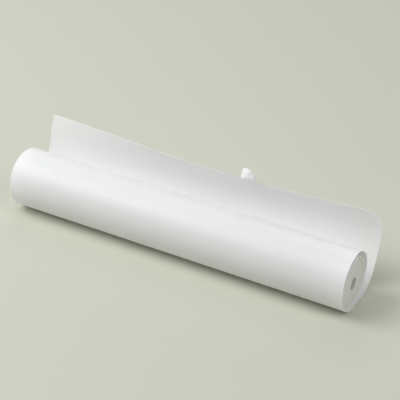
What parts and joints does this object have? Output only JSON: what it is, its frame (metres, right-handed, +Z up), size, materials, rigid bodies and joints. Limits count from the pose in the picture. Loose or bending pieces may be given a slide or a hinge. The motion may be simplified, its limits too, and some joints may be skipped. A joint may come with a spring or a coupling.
{
  "type": "thermal paper roll",
  "caption": "Coreless roll of white thermal paper lying on its side, with its loose outer turns and free end rising behind it and a torn scrap of seal.",
  "frame": {"origin": "on the surface that the roll lies on, straight below the spindle hole's axis and halfway along the tight turns", "axes": "+X along the spindle hole, +Y towards the back, where the free end rises, +Z up"},
  "size_m": [0.2128, 0.0477, 0.0496],
  "materials": {
    "thermal_paper": "smooth matt, with a faint sheen",
    "seal_paper": "matt and crumpled"
  },
  "bodies": {
    "root": {"paper_roll": "thermal_paper", "torn_seal": "seal_paper"}
  },
  "joints": []
}
